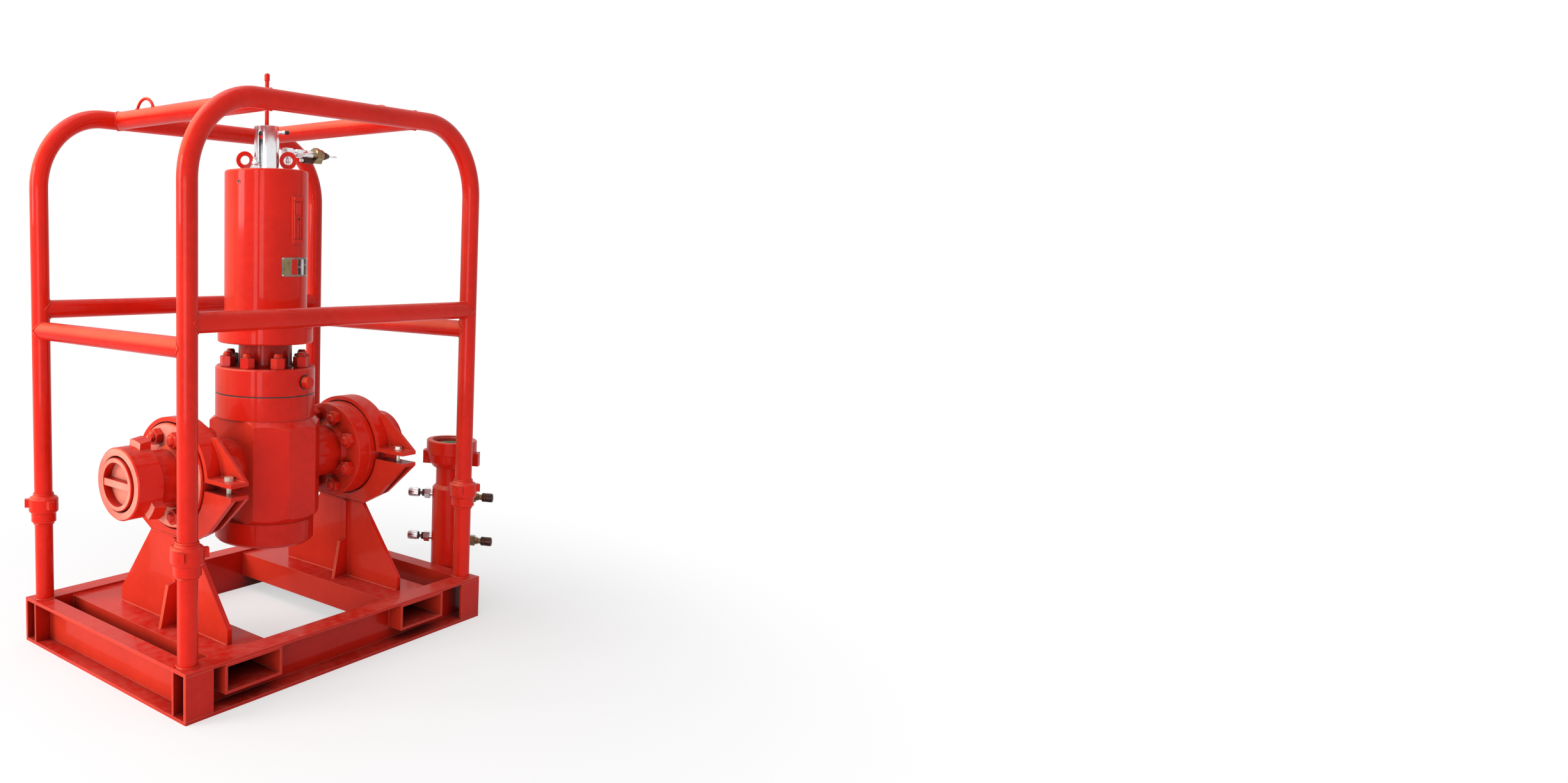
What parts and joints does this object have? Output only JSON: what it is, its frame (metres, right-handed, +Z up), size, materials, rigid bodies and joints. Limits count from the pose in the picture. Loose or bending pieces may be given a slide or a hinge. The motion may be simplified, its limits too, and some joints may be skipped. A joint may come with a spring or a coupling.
{
  "type": "skid-mounted surface safety valve",
  "caption": "Actuated gate valve with clamped flow-line ends in a tubular crash cage on a fork-pocket skid, with a corner spool.",
  "frame": {"origin": "on the floor, under the middle of the whole footprint, the corner spool included", "axes": "+Z up along the valve stem, +X along the skid's long side towards the corner spool, +Y across the skid towards its back"},
  "size_m": [1.5168, 0.9, 1.916],
  "materials": {
    "red_paint": "gloss orange-red enamel with dust and chips at the edges",
    "chrome": "polished",
    "zinc": "zinc plated, slightly dulled",
    "steel": "turned stainless steel",
    "dark_brass": "tarnished, dark brown"
  },
  "bodies": {
    "skid": {"skid_side_front": "red_paint", "skid_side_back": "red_paint", "skid_end_left": "red_paint", "skid_end_right": "red_paint", "corner_plates": "red_paint", "fork_tube_left": "red_paint", "fork_tube_right": "red_paint", "post_stubs": "red_paint", "post_unions": "red_paint", "arch_front": "red_paint", "arch_back": "red_paint", "rail_front": "red_paint", "rail_back": "red_paint", "rail_left": "red_paint", "rail_right": "red_paint", "cross_tube_left": "red_paint", "cross_tube_right": "red_paint", "lifting_rings": "red_paint", "pedestal_left": "red_paint", "pedestal_right": "red_paint", "clamp_lower_left": "red_paint", "clamp_lower_right": "red_paint", "clamp_upper_left": "red_paint", "clamp_upper_right": "red_paint", "valve_body": "red_paint", "bonnet": "red_paint", "bonnet_nuts": "red_paint", "bleed_plug": "red_paint", "flange_left": "red_paint", "flange_right": "red_paint", "flange_nuts": "red_paint", "wing_nut_left": "red_paint", "wing_nut_right": "red_paint", "blank_plug_left": "red_paint", "blank_plug_right": "red_paint", "actuator_flange": "red_paint", "actuator_cylinder": "red_paint", "actuator_eyes": "red_paint", "spool": "red_paint", "spool_union": "red_paint", "spool_brackets": "red_paint", "clamp_bolts": "zinc", "indicator_sleeve": "chrome", "exhaust_fitting": "steel", "spool_steel_fittings": "steel", "spool_brass_fittings": "dark_brass"},
    "indicator": {"indicator_rod": "red_paint"}
  },
  "joints": [
    {"name": "indicator_slide", "type": "slide", "parent": "skid", "child": "indicator", "axis": [0, 0, 1], "range_m": [-0.1, 0]}
  ]
}
